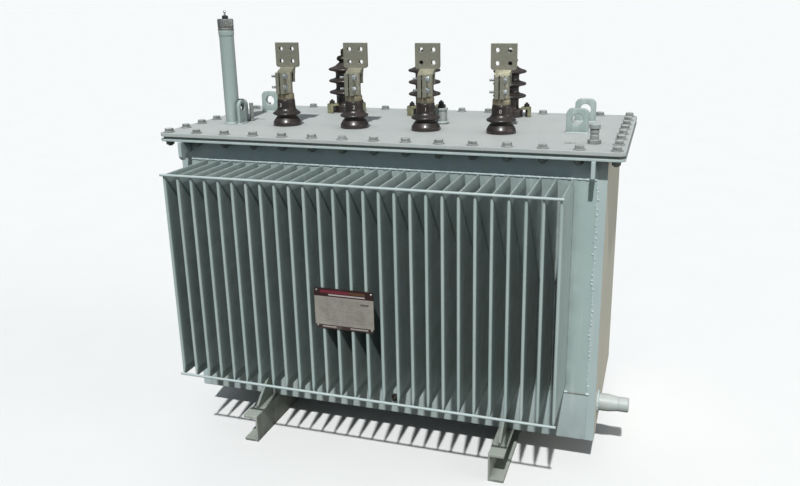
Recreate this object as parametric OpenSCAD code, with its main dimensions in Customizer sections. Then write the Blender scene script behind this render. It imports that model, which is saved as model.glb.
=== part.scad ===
// Sealed oil-filled distribution transformer on skids, with corrugated cooling walls.
// Millimetres, Z up, X along the length, front (low-voltage side) towards -Y.

/* [Tank] */
// Length over the end walls
tank_len = 1360; // [1240:10:1500]
// Depth over the front and back wall sheets
tank_depth = 616; // [560:4:700]
// Height from the tank's underside to the top of its flange
tank_h = 885; // [845:10:965]
// Thickness of the wall sheets
wall_t = 5; // [4:0.5:8]
// Thickness of the floor plate
floor_t = 8; // [6:1:12]
// Width of the end wall's folded edge on the front and back
return_w = 26; // [20:1:40]
// Height of the plain skirt under the cooling panels
skirt_h = 153; // [128:5:178]
// Height of the plain rail between the cooling panels and the flange
rail_h = 62; // [50:1:90]

/* [Cooling panels] */
// Number of fins on each long side
fin_count = 27; // [21:1:27]
// Distance between fins
fin_pitch = 45; // [40:1:45]
// Thickness of a fin
fin_t = 9; // [7:0.5:11]
// Depth of a fin from the wall sheet
fin_depth = 238; // [160:2:260]
// Thickness of the seam at a fin's closed top and bottom
seam_t = 3; // [2:0.5:4]
// Height over which a fin narrows to its seam
seam_h = 26; // [15:1:40]
// Gap between the sheet's lower edge and the fins
fin_lift = 14; // [8:1:24]
// Diameter of the tie rods across the fin tips
rod_d = 8; // [6:0.5:10]
// Length of rod past the outer fins
rod_over = 3; // [2:1:12]

/* [Cover] */
// Width of the flange outside the tank walls
flange_w = 47; // [40:1:55]
// Thickness of the flange
flange_t = 7; // [6:1:12]
// Thickness of the gasket
gasket_t = 8; // [4:0.5:10]
// Distance of the gasket's edges from the flange's edges
gasket_inset = 6; // [4:0.5:10]
// Thickness of the cover plate
cover_t = 11; // [8:1:14]
// Cut on the corners of cover and flange
corner_cut = 14; // [8:1:24]

/* [Skids] */
// Height of the skid channels
skid_h = 92; // [80:4:120]
// Width of the channel's flanges
skid_w = 48; // [40:1:60]
// Thickness of the channel's web
skid_web = 5.5; // [4:0.5:8]
// Thickness of the channel's flanges
skid_flange = 8.5; // [6:0.5:10]
// Length of the skids
skid_len = 930; // [800:10:1040]
// Distance between the middles of the skids
skid_gauge = 820; // [660:10:820]
// Length of the gussets on the skids' ends
gusset_l = 105; // [60:1:110]
// Height of the gussets
gusset_h = 85; // [60:1:110]
// Thickness of the gussets
gusset_t = 8; // [6:0.5:12]
// Width left at the gussets' tips
gusset_tip = 12; // [8:1:20]

/* [Low-voltage bushings] */
// Distance between the bushings
lv_pitch = 244; // [230:1:250]
// Middle of the row from the tank's middle
lv_x = -29; // [-40:1:0]
// Row's distance from the cover's front edge
lv_in = 251; // [225:1:265]
// Diameter of the foot
lv_foot_d = 92; // [84:1:100]
// Height of the bell-shaped foot
lv_foot_h = 29; // [24:1:32]
// Diameter of the shed
lv_shed_d = 92; // [80:1:100]
// Thickness of the shed's round rim
lv_rim_t = 9; // [6:1:11]
// Height of the rim's middle
lv_shed_z = 40; // [38:1:44]
// Diameter of the neck
lv_neck_d = 66; // [60:1:70]
// Diameter of the upper body
lv_body_d = 60; // [56:1:66]
// Height of the porcelain
lv_body_h = 86; // [80:1:100]
// Diameter of the brass collar
lv_collar_d = 54; // [46:1:58]
// Height of the brass collar
lv_collar_h = 21; // [14:1:28]
// Diameter of the stud
lv_stud_d = 30; // [24:1:34]
// Diameter of the clamp round the stud
clamp_d = 48; // [44:1:54]
// Height of the clamp
clamp_h = 69; // [60:1:80]
// Reach of the clamp's ears in front of the stud's axis
ear_reach = 40; // [36:1:48]
// Width over both ears
ear_w = 28; // [22:1:34]
// Width of the slit between the ears
clamp_slit = 4; // [3:0.5:6]
// Width and height of the connection palm
palm_w = 80; // [72:1:90]
// Thickness of the palm
palm_t = 13; // [10:1:16]
// Distance of the palm's front face behind the stud's axis
palm_back = 22; // [16:1:28]
// Height of the bent neck between clamp and palm
palm_neck_h = 13; // [8:1:24]
// Radius of the palm's lower corners
palm_round = 9; // [6:1:16]
// Distance between the palm's holes
palm_hole_gap = 40; // [36:1:50]
// Diameter of the palm's holes
palm_hole_d = 14; // [11:0.5:18]

/* [High-voltage bushings] */
// Distance between the bushings
hv_pitch = 311; // [290:1:320]
// Middle of the row from the tank's middle
hv_x = -17; // [-30:1:0]
// Row's distance from the cover's rear edge
hv_in = 110; // [106:1:130]
// Diameter of the sheds
hv_shed_d = 116; // [104:1:120]
// Diameter of the core
hv_core_d = 66; // [60:1:72]
// Diameter of the foot
hv_foot_d = 96; // [88:1:100]
// Height of the foot
hv_foot_h = 26; // [22:1:30]
// Number of sheds
hv_sheds = 3; // [2:1:4]
// Height of the lowest shed's rim
hv_first = 73; // [70:1:80]
// Distance between the sheds
hv_shed_gap = 42; // [38:1:46]
// Thickness of a shed at the core
hv_shed_t = 24; // [18:1:30]
// Height of the cone over the top shed
hv_cone_h = 25; // [20:1:32]
// Diameter of the cone's top, under the cap
hv_neck_d = 37; // [30:1:42]
// Diameter of the cap on the cone
hv_cap_d = 54; // [46:1:60]
// Height of the cap
hv_cap_h = 23; // [16:1:28]
// Diameter of the terminal stud
hv_stud_d = 12; // [10:1:16]
// Length of the stud above the cap
hv_stud_l = 26; // [20:1:36]
// Number of claws that hold a bushing's foot
claw_count = 3; // [3:1:4]
// Width of a claw
claw_w = 24; // [20:1:32]
// Reach of a claw past the foot
claw_reach = 28; // [22:1:32]
// Thickness of a claw's arm
claw_t = 9; // [7:0.5:12]

/* [Cover fittings] */
// Outer diameter of the filler pipe
pipe_d = 48; // [44:1:56]
// Wall of the filler pipe
pipe_t = 4; // [3:0.5:6]
// Height of the filler pipe under its ring
pipe_h = 291; // [240:1:320]
// Height of the ring on top of the pipe
ring_h = 19; // [12:1:24]
// Filler pipe's distance from the cover's left end
pipe_in = 130; // [110:1:140]
// Filler pipe's distance from the cover's front edge
pipe_front = 243; // [215:1:249]
// Diameter of the filler cap
cap_d = 52; // [46:1:60]
// Height of the filler cap
cap_h = 37; // [28:1:44]
// Height of the eye plate beside the pipe
bracket_h = 80; // [66:1:90]
// Width of the eye plate
bracket_w = 46; // [40:1:54]
// Diameter of its eye
bracket_hole_d = 28; // [20:1:30]
// Thickness of the eye plate
bracket_t = 10; // [6:1:14]
// Gap between the pipe and the eye plate
bracket_gap = 7; // [7:1:15]
// Middle of the lifting lugs from the tank's middle along X
lug_x = -20; // [-24:1:0]
// Distance of the lugs from the tank's ends, before that shift
lug_in = 95; // [90:1:110]
// Front lugs' distance from the cover's front edge
lug_front = 297; // [291:1:305]
// Rear lugs' distance from the cover's rear edge
lug_rear = 175; // [135:1:235]
// Width of a lifting lug
lug_w = 68; // [60:1:72]
// Height of a lifting lug
lug_h = 76; // [70:1:90]
// Thickness of a lifting lug
lug_t = 14; // [10:1:18]
// Radius of a lug's shoulders
lug_round = 18; // [10:1:24]
// Diameter of a lug's eye
lug_hole_d = 35; // [26:1:38]
// Tap changer from the tank's middle along X
tap_x = 105; // [80:1:130]
// Tap changer's distance from the cover's front edge
tap_front = 391; // [375:1:415]
// Diameter of the tap changer
tap_d = 38; // [34:1:46]
// Height of the tap changer's housing
tap_h = 52; // [40:1:60]
// Relief valve's distance from the cover's right end
relief_in = 95; // [80:1:110]
// Relief valve's distance from the cover's front edge
relief_front = 127; // [110:1:160]
// Height of the relief valve
relief_h = 58; // [48:1:70]
// Vent cock's distance from the cover's left end
vent_in = 166; // [164:1:180]
// Vent cock's distance from the cover's front edge
vent_front = 309; // [305:1:325]
// Height of the vent cock
vent_h = 62; // [50:1:70]

/* [Tank fittings] */
// Thickness of the hooks under the flange
hook_t = 11; // [8:1:16]
// Reach of the hooks from the wall
hook_reach = 60; // [50:1:70]
// Distance of the hooks' middles from the tank's ends
hook_in = 36; // [20:1:50]
// Width of a hook's finger
hook_finger = 20; // [16:1:26]
// Height of the throat behind the finger
hook_throat = 20; // [12:1:28]
// Cut on the hooks' lower corners
hook_cut = 10; // [4:1:16]
// Height of the hooks
hook_h = 57; // [48:1:58]
// Length of the drain spigot
drain_l = 95; // [60:1:110]
// Diameter of the drain spigot at its cap
drain_d = 44; // [38:1:50]
// Diameter of the drain spigot at its collar
drain_root_d = 54; // [48:1:60]
// Drain's distance from the front wall
drain_front = 98; // [78:1:158]
// Drain's height above the tank's underside
drain_z = 84; // [50:1:100]
// Length of the drain's cap
drain_cap_l = 30; // [20:1:40]
// Width of the rating plate
plate_w = 182; // [140:1:190]
// Height of the rating plate
plate_h = 124; // [90:1:140]
// Thickness of the rating plate
plate_t = 3; // [2:0.5:5]
// Height of the rating plate's middle above the panel's lower edge
plate_z = 296; // [200:1:400]

/* [Hidden] */
$fn = 64;
// Clearance between welded faces that meet along a line
line_gap = 0.1;
tank_z = skid_h;
flange_z = tank_z + tank_h - flange_t;
gasket_z = flange_z + flange_t;
cover_z = gasket_z + gasket_t;
top_z = cover_z + cover_t;
flange_len = tank_len + 2 * flange_w;
flange_depth = tank_depth + 2 * flange_w;
panel_z = tank_z + skirt_h;
panel_h = flange_z - rail_h - panel_z;
panel_len = tank_len - 2 * return_w;
fin_h = panel_h - fin_lift;
fin_z = panel_z + fin_lift;
tip_y = tank_depth / 2 + fin_depth;
fin_row = (fin_count - 1) * fin_pitch;
cover_front = -flange_depth / 2;
// Half of what the drain reaches past the cover, so that the origin is in the middle of the whole
mid_x = (tank_len / 2 + drain_l - flange_len / 2) / 2;
clamp_z = lv_body_h + lv_collar_h;
palm_z = clamp_z + clamp_h + palm_neck_h;
hv_rim_z = hv_first + (hv_sheds - 1) * hv_shed_gap;
hv_body_h = hv_rim_z + hv_cone_h;
pipe_place = [pipe_in - flange_len / 2, cover_front + pipe_front, top_z];
vent_place = [vent_in - flange_len / 2, cover_front + vent_front, top_z];
relief_place = [flange_len / 2 - relief_in, cover_front + relief_front, top_z];
tap_place = [tap_x, cover_front + tap_front, top_z];
drain_place = [tank_len / 2, drain_front - tank_depth / 2, tank_z + drain_z];
// Small edge break on turned and cast pieces
edge = 3;

paint = [0.60, 0.66, 0.64];
cover_paint = [0.72, 0.75, 0.73];
porcelain = [0.20, 0.10, 0.07];
tinned = [0.55, 0.55, 0.48];
brass = [0.66, 0.54, 0.34];
zinc = [0.72, 0.66, 0.42];
rubber = [0.09, 0.09, 0.09];
plate_grey = [0.74, 0.74, 0.70];

// Places a piece so that the origin is in the middle of the whole, under it
module centred() {
    translate([-mid_x, 0, 0]) children();
}

// Flat rectangle with cut corners
module cut_rect(l, d, cut) {
    polygon([
        [-l / 2 + cut, -d / 2], [l / 2 - cut, -d / 2],
        [l / 2, -d / 2 + cut], [l / 2, d / 2 - cut],
        [l / 2 - cut, d / 2], [-l / 2 + cut, d / 2],
        [-l / 2, d / 2 - cut], [-l / 2, -d / 2 + cut]
    ]);
}

// Channel with its web on the inner side and its flanges outwards
module skid(side) {
    inner = skid_gauge / 2 - skid_w / 2;
    color(paint) centred() rotate([90, 0, 0])
        translate([0, 0, -skid_len / 2]) linear_extrude(skid_len) polygon([
            [side * inner, 0],
            [side * (inner + skid_w), 0],
            [side * (inner + skid_w), skid_flange],
            [side * (inner + skid_web), skid_flange],
            [side * (inner + skid_web), skid_h - skid_flange],
            [side * (inner + skid_w), skid_h - skid_flange],
            [side * (inner + skid_w), skid_h],
            [side * inner, skid_h]
        ]);
}

module skid_gussets() {
    color(paint) centred() for (side = [-1, 1], face = [-1, 1])
        translate([side * skid_gauge / 2 - gusset_t / 2, face * tank_depth / 2, skid_h])
            rotate([90, 0, 90]) linear_extrude(gusset_t)
                polygon([[0, 0], [face * gusset_l, 0], [face * gusset_l, gusset_tip],
                    [face * gusset_tip, gusset_h], [0, gusset_h]]);
}

module tank_floor() {
    inside_len = tank_len - 2 * wall_t;
    inside_depth = tank_depth - 2 * wall_t;
    color(paint) centred() translate([-inside_len / 2, -inside_depth / 2, tank_z])
        cube([inside_len, inside_depth, floor_t]);
}

// Plain strip of the front (-1) or back (1) wall
module strip(face, z, h) {
    color(paint) centred()
        translate([-panel_len / 2, face * (tank_depth / 2 - wall_t / 2) - wall_t / 2, z])
            cube([panel_len, wall_t, h]);
}

// End wall with its edges folded round onto the front and back
module end_wall(side) {
    half = tank_len / 2;
    deep = tank_depth / 2;
    color(paint) centred() translate([0, 0, tank_z]) linear_extrude(flange_z - tank_z) polygon([
        [side * (half - return_w), -deep], [side * half, -deep],
        [side * half, deep], [side * (half - return_w), deep],
        [side * (half - return_w), deep - wall_t], [side * (half - wall_t), deep - wall_t],
        [side * (half - wall_t), -deep + wall_t], [side * (half - return_w), -deep + wall_t]
    ]);
}

// One folded fin on the front: round at its outer fold, pinched to a seam at top and bottom
module fin() {
    intersection() {
        linear_extrude(fin_h) union() {
            translate([-fin_t / 2, -fin_depth + fin_t / 2]) square([fin_t, fin_depth - fin_t / 2]);
            translate([0, -fin_depth + fin_t / 2]) circle(d = fin_t);
        }
        translate([0, fin_depth, 0]) rotate([90, 0, 0]) linear_extrude(2 * fin_depth) polygon([
            [-seam_t / 2, 0], [seam_t / 2, 0],
            [fin_t / 2, seam_h], [fin_t / 2, fin_h - seam_h],
            [seam_t / 2, fin_h], [-seam_t / 2, fin_h],
            [-fin_t / 2, fin_h - seam_h], [-fin_t / 2, seam_h]
        ]);
    }
}

// Cooling panel on the front: one sheet with all its fins
module cooling_panel() {
    translate([-panel_len / 2, -tank_depth / 2, panel_z]) cube([panel_len, wall_t, panel_h]);
    for (i = [0 : fin_count - 1])
        translate([i * fin_pitch - fin_row / 2, -tank_depth / 2, fin_z]) fin();
}

module panel(turn) {
    color(paint) centred() rotate([0, 0, turn]) cooling_panel();
}

// Tie rods along the top and bottom of the fin tips
module rods(turn) {
    rod_l = fin_row + fin_t + 2 * rod_over;
    color(paint) centred() rotate([0, 0, turn])
        for (z = [fin_z + rod_d / 2, fin_z + fin_h])
            translate([-rod_l / 2, -tip_y - rod_d / 2 - line_gap, z])
                rotate([0, 90, 0]) cylinder(d = rod_d, h = rod_l);
}

module tank_flange() {
    color(paint) centred() translate([0, 0, flange_z]) linear_extrude(flange_t) difference() {
        cut_rect(flange_len, flange_depth, corner_cut);
        square([tank_len - 2 * return_w, tank_depth - 2 * return_w], center = true);
    }
}

// Lashing hooks under the flange's corners, square to the front and back walls, open downwards
module tank_hooks() {
    inner = hook_reach - hook_finger;
    color(paint) centred() for (side = [-1, 1], face = [-1, 1])
        translate([side * (tank_len / 2 - hook_in) - hook_t / 2, face * tank_depth / 2, flange_z - hook_h])
            rotate([90, 0, 90]) linear_extrude(hook_t) polygon([
                [0, hook_throat], [face * (inner - hook_cut), hook_throat],
                [face * inner, hook_throat - hook_cut], [face * inner, 0],
                [face * (hook_reach - hook_cut), 0], [face * hook_reach, hook_cut],
                [face * hook_reach, hook_h], [0, hook_h]
            ]);
}

module cover_gasket() {
    color(rubber) centred() translate([0, 0, gasket_z]) linear_extrude(gasket_t) difference() {
        cut_rect(flange_len - 2 * gasket_inset, flange_depth - 2 * gasket_inset, corner_cut);
        square([tank_len - return_w, tank_depth - return_w], center = true);
    }
}

module cover() {
    color(cover_paint) centred() translate([0, 0, cover_z])
        linear_extrude(cover_t) cut_rect(flange_len, flange_depth, corner_cut);
}

function lv_place(i) = [lv_x + (i - 2.5) * lv_pitch, cover_front + lv_in, top_z];
function hv_place(i) = [hv_x + (i - 2) * hv_pitch, -cover_front - hv_in, top_z];

// Quarter round from the level foot's edge in to the neck, in steps of 15 degrees
function bell(r_out, r_in, z, h) = [for (t = [0 : 15 : 90]) [r_in + (r_out - r_in) * cos(t), z + h * sin(t)]];

// Turned insulator: bell-shaped foot, neck, one shed with a round rim and a plain upper body
module lv_porcelain(i) {
    foot = lv_foot_d / 2;
    neck = lv_neck_d / 2;
    body = lv_body_d / 2;
    base = lv_foot_h / 3;
    rim = lv_rim_t / 2;
    rim_r = lv_shed_d / 2 - rim;
    color(porcelain) centred() translate(lv_place(i)) rotate_extrude() polygon(concat(
        [[0, 0], [foot, 0]],
        bell(foot, neck, base, lv_foot_h - base),
        [[neck + edge, lv_shed_z - rim - edge / 2]],
        [for (t = [-90 : 30 : 90]) [rim_r + rim * cos(t), lv_shed_z + rim * sin(t)]],
        [[body + edge, lv_shed_z + rim + 2 * edge], [body, lv_shed_z + rim + 4 * edge]],
        [[body - edge / 2, lv_body_h - edge], [body - edge, lv_body_h], [0, lv_body_h]]
    ));
}

// Brass collars on the low-voltage bushings, each with the stud that carries its clamp
module lv_collars() {
    collar = lv_collar_d / 2;
    stud = lv_stud_d / 2;
    stud_top = lv_collar_h + clamp_h - 2 * edge;
    color(brass) centred() for (i = [1 : 4])
        translate(lv_place(i)) translate([0, 0, lv_body_h]) rotate_extrude() polygon([
            [0, 0], [collar, 0], [collar, lv_collar_h - edge], [collar - edge, lv_collar_h],
            [stud, lv_collar_h], [stud, stud_top - edge], [stud - edge, stud_top], [0, stud_top]
        ]);
}

// Connection palm: square on top, round below, drilled at four places
module palm() {
    corner = palm_w / 2 - palm_round;
    rotate([90, 0, 0]) linear_extrude(palm_t) difference() {
        union() {
            translate([-palm_w / 2, palm_round]) square([palm_w, palm_w - palm_round]);
            translate([-corner, 0]) square([2 * corner, palm_w]);
            for (s = [-1, 1]) translate([s * corner, palm_round]) circle(r = palm_round);
        }
        for (x = [-1, 1], z = [-1, 1])
            translate([x * palm_hole_gap / 2, palm_w / 2 + z * palm_hole_gap / 2]) circle(d = palm_hole_d);
    }
}

// Clamp split between two ears at the front, with a neck that slopes back from its top to the palm
module lv_terminal(i) {
    rear = palm_back + palm_t;
    body_r = clamp_d / 2;
    color(tinned) centred() translate(lv_place(i)) union() {
        translate([0, 0, clamp_z]) linear_extrude(clamp_h) difference() {
            union() {
                circle(d = clamp_d);
                translate([-ear_w / 2, -ear_reach]) square([ear_w, ear_reach]);
            }
            circle(r = lv_stud_d / 2 + line_gap);
            translate([-clamp_slit / 2, -ear_reach - edge]) square([clamp_slit, ear_reach + edge]);
        }
        translate([-body_r, 0, clamp_z]) rotate([90, 0, 90]) linear_extrude(clamp_d) polygon([
            [body_r - palm_t / 2, clamp_h / 2], [body_r + palm_t / 4, clamp_h / 2],
            [body_r + palm_t / 4, clamp_h * 3 / 4], [rear, clamp_h + palm_neck_h],
            [palm_back, clamp_h + palm_neck_h], [-body_r / 4, clamp_h],
            [-body_r / 4, clamp_h - edge], [body_r - palm_t / 2, clamp_h - edge]
        ]);
        translate([0, rear, palm_z]) palm();
    }
}

// Outline of one shed: pointed rim, hollow slopes above and below
function shed_outline(z, core, rim) = [
    [core, z - hv_shed_t / 2], [core + 2 * edge, z - hv_shed_t / 3], [rim - edge, z - edge], [rim, z],
    [rim - edge, z + edge], [core + 2 * edge, z + hv_shed_t / 3], [core, z + hv_shed_t / 2]
];

// Turned insulator: foot, core with its row of sheds, and a cone over the top one
module hv_porcelain(i) {
    foot = hv_foot_d / 2;
    core = hv_core_d / 2;
    rim = hv_shed_d / 2;
    sheds = [for (k = [0 : hv_sheds - 2]) each shed_outline(hv_first + k * hv_shed_gap, core, rim)];
    color(porcelain) centred() translate(hv_place(i)) rotate_extrude() polygon(concat(
        [[0, 0], [foot, 0], [foot, hv_foot_h - edge], [foot - edge, hv_foot_h], [core + edge, hv_foot_h]],
        [[core, hv_foot_h + 2 * edge]],
        sheds,
        [[core, hv_rim_z - hv_shed_t / 2], [core + 2 * edge, hv_rim_z - hv_shed_t / 3]],
        [[rim - edge, hv_rim_z - edge], [rim, hv_rim_z], [rim - edge, hv_rim_z + edge]],
        [[core, hv_rim_z + hv_cone_h / 2], [hv_neck_d / 2, hv_body_h], [0, hv_body_h]]
    ));
}

// Claws that hold the high-voltage bushings' feet down
module hv_claws() {
    foot = hv_foot_d / 2;
    lip = foot - 2 * edge;
    end = foot + claw_reach;
    arm_z = hv_foot_h + claw_t;
    color(zinc) centred() for (i = [1 : 3], k = [0 : claw_count - 1])
        translate(hv_place(i)) rotate([0, 0, k * 360 / claw_count]) translate([0, claw_w / 2, 0])
            rotate([90, 0, 0]) linear_extrude(claw_w) polygon([
                [end - claw_t, 0], [end, 0], [end, arm_z - edge], [end - edge, arm_z],
                [lip + edge, arm_z], [lip, arm_z - edge], [lip, hv_foot_h], [end - claw_t, hv_foot_h]
            ]);
}

// Round cap and stud on a high-voltage bushing
module hv_terminal(i) {
    neck = hv_neck_d / 2;
    cap = hv_cap_d / 2;
    stud = hv_stud_d / 2;
    tip = hv_cap_h + hv_stud_l;
    color(brass) centred() translate(hv_place(i)) translate([0, 0, hv_body_h]) rotate_extrude() polygon([
        [0, 0], [neck, 0], [neck, edge], [cap - edge, 2 * edge], [cap, 3 * edge],
        [cap, hv_cap_h - 3 * edge], [cap - edge, hv_cap_h - edge], [cap - 3 * edge, hv_cap_h],
        [stud, hv_cap_h], [stud, tip - edge / 2], [stud - edge / 2, tip], [0, tip]
    ]);
}

// Filler pipe with a weld at its foot and a thicker ring on top
module filler_pipe() {
    bore = pipe_d / 2 - pipe_t;
    ring = pipe_d / 2 + edge / 2;
    color(paint) centred() translate(pipe_place) rotate_extrude() polygon([
        [bore, 0], [pipe_d / 2 + 2 * edge, 0], [pipe_d / 2, 2 * edge], [pipe_d / 2, pipe_h],
        [ring, pipe_h + edge], [ring, pipe_h + ring_h], [bore, pipe_h + ring_h]
    ]);
}

// Screw cap on the filler pipe, with a knob and a pin
module filler_cap() {
    cap = cap_d / 2;
    knob = cap_d / 5;
    pin = cap_d / 16;
    knob_h = cap_h / 3;
    color(rubber) centred() translate(pipe_place) translate([0, 0, pipe_h + ring_h])
        rotate_extrude() polygon([
            [0, 0], [cap, 0], [cap, cap_h - edge], [cap - 2 * edge, cap_h], [knob, cap_h],
            [knob, cap_h + knob_h], [pin, cap_h + knob_h + edge], [pin, cap_h + 2 * knob_h + edge],
            [0, cap_h + 2 * knob_h + 2 * edge]
        ]);
}

// Upright plate with an eye, beside the filler pipe
module pipe_bracket() {
    color(paint) centred() translate(pipe_place) translate([pipe_d / 2 + bracket_gap, 0, 0])
        rotate([90, 0, 90]) linear_extrude(bracket_t) difference() {
            union() {
                translate([-bracket_w / 2, 0]) square([bracket_w, bracket_h - bracket_w / 2]);
                translate([0, bracket_h - bracket_w / 2]) circle(d = bracket_w);
            }
            translate([0, bracket_h - bracket_w / 2]) circle(d = bracket_hole_d);
        }
}

// Tap changer's housing: foot ring, turned body and overhanging rim
module tap_changer() {
    body = tap_d / 2;
    foot = body + 2 * edge;
    rim_z = tap_h - 3 * edge;
    color(paint) centred() translate(tap_place) rotate_extrude() polygon([
        [0, 0], [foot, 0], [foot, 2 * edge], [body, 3 * edge], [body, rim_z], [body + edge, rim_z + edge],
        [body + edge, tap_h], [0, tap_h]
    ]);
}

module tap_knob() {
    knob = tap_d / 3;
    knob_h = tap_d / 2;
    color(rubber) centred() translate(tap_place) translate([0, 0, tap_h]) rotate_extrude() polygon([
        [0, 0], [knob, 0], [knob, knob_h / 3], [knob / 3, knob_h - edge], [0, knob_h]
    ]);
}

// Relief valve: hexagon foot, grooved body and wider cap
module relief_valve() {
    foot_h = relief_h / 5;
    cap_z = relief_h * 3 / 4;
    body = relief_h / 4.5;
    groove = body - edge / 2;
    mid = (foot_h + cap_z) / 2;
    color(tinned) centred() translate(relief_place) union() {
        cylinder(d = 3 * body, h = foot_h, $fn = 6);
        rotate_extrude() polygon([
            [0, 0], [body, 0], [body, mid - edge], [groove, mid - edge],
            [groove, mid + edge], [body, mid + edge], [body, cap_z - edge], [groove, cap_z - edge],
            [groove, cap_z], [body + edge, cap_z],
            [body + edge, relief_h - edge], [body, relief_h], [0, relief_h]
        ]);
    }
}

// Vent cock: upright stem with a side arm that ends in a ball
module vent_cock() {
    stem = vent_h / 4.5;
    arm_z = vent_h * 0.8;
    arm_l = vent_h * 0.45;
    color(tinned) centred() translate(vent_place) union() {
        cylinder(d = stem + 2 * edge, h = 2 * edge);
        cylinder(d = stem, h = vent_h);
        translate([0, 0, arm_z]) rotate([0, 90, 0]) cylinder(d = stem / 2, h = arm_l);
        translate([arm_l, 0, arm_z]) sphere(d = stem * 0.8);
    }
}

// Lug with round shoulders and an eye
module lug() {
    corner = lug_w / 2 - lug_round;
    translate([0, lug_t / 2, 0]) rotate([90, 0, 0]) linear_extrude(lug_t) difference() {
        union() {
            translate([-lug_w / 2, 0]) square([lug_w, lug_h - lug_round]);
            translate([-corner, 0]) square([2 * corner, lug_h]);
            for (s = [-1, 1]) translate([s * corner, lug_h - lug_round]) circle(r = lug_round);
        }
        translate([0, lug_h - lug_w / 2]) circle(d = lug_hole_d);
    }
}

module lifting_lugs() {
    color(cover_paint) centred() for (side = [-1, 1], y = [cover_front + lug_front, -cover_front - lug_rear])
        translate([lug_x + side * (tank_len / 2 - lug_in), y, top_z]) lug();
}

// Drain spigot on the right end wall: weld collar and slightly tapered neck
module drain_spigot() {
    neck = drain_d / 2;
    root = drain_root_d / 2;
    collar = root + edge;
    length = drain_l - drain_cap_l;
    color(paint) centred() translate(drain_place) rotate([0, 90, 0]) rotate_extrude() polygon([
        [0, 0], [collar, 0], [root, 2 * edge], [root, length / 2], [neck, length], [0, length]
    ]);
}

module drain_cap() {
    cap = drain_d / 2 + edge / 4;
    color(paint) centred() translate(drain_place) translate([drain_l - drain_cap_l, 0, 0])
        rotate([0, 90, 0]) rotate_extrude() polygon([
            [0, 0], [cap, 0], [cap, drain_cap_l - edge], [cap - edge, drain_cap_l], [0, drain_cap_l]
        ]);
}

// Bare plate on the tips of the middle fins
module rating_plate() {
    color(plate_grey) centred() translate([-fin_pitch / 2 - plate_w / 2, -tip_y - plate_t - line_gap,
        panel_z + plate_z - plate_h / 2]) cube([plate_w, plate_t, plate_h]);
}

skid(-1);  // left_skid
skid(1);  // right_skid
skid_gussets();
tank_floor();
strip(-1, tank_z, skirt_h);  // front_skirt
strip(1, tank_z, skirt_h);  // back_skirt
end_wall(-1);  // left_end_wall
end_wall(1);  // right_end_wall
panel(0);  // front_panel
panel(180);  // back_panel
rods(0);  // front_rods
rods(180);  // back_rods
strip(-1, panel_z + panel_h, rail_h);  // front_rail
strip(1, panel_z + panel_h, rail_h);  // back_rail
tank_flange();
tank_hooks();
cover_gasket();
cover();
lv_porcelain(1);  // lv_porcelain_1
lv_porcelain(2);  // lv_porcelain_2
lv_porcelain(3);  // lv_porcelain_3
lv_porcelain(4);  // lv_porcelain_4
lv_collars();
lv_terminal(1);  // lv_terminal_1
lv_terminal(2);  // lv_terminal_2
lv_terminal(3);  // lv_terminal_3
lv_terminal(4);  // lv_terminal_4
hv_porcelain(1);  // hv_porcelain_1
hv_porcelain(2);  // hv_porcelain_2
hv_porcelain(3);  // hv_porcelain_3
hv_claws();
hv_terminal(1);  // hv_terminal_1
hv_terminal(2);  // hv_terminal_2
hv_terminal(3);  // hv_terminal_3
filler_pipe();
filler_cap();
pipe_bracket();
tap_changer();
tap_knob();
relief_valve();
vent_cock();
lifting_lugs();
drain_spigot();
drain_cap();
rating_plate();
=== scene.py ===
import math
import random

import bmesh
import bpy
from mathutils import Matrix, Vector


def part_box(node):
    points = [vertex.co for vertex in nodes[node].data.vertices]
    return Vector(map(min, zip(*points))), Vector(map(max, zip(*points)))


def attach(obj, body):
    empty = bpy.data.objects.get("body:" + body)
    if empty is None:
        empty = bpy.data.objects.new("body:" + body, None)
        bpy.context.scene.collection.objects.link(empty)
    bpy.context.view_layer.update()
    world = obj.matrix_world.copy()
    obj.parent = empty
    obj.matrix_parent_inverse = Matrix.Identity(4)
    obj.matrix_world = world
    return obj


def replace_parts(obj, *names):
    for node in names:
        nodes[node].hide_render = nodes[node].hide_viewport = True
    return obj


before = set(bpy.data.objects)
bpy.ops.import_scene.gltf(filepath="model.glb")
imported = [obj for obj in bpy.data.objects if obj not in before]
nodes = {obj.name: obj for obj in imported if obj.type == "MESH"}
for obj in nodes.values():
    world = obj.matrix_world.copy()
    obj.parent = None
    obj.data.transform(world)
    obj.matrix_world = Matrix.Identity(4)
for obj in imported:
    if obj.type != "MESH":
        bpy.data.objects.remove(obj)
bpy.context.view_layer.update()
chance = random.Random(7)  # one seeded source, so that every run is alike
mm = 0.001
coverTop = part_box("cover")[1].z
print("frame loaded:", len(nodes), "nodes")


# camera
view = {
    "place": (0.7906, -2.4502, 1.3951),
    "yaw": 0.3043,
    "pitch": 0.2797,
    "roll": -0.0131,
    "focalPixels": 773.0,
    "centre": (422.5, 221.9),
    "image": (800, 486),
}


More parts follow.
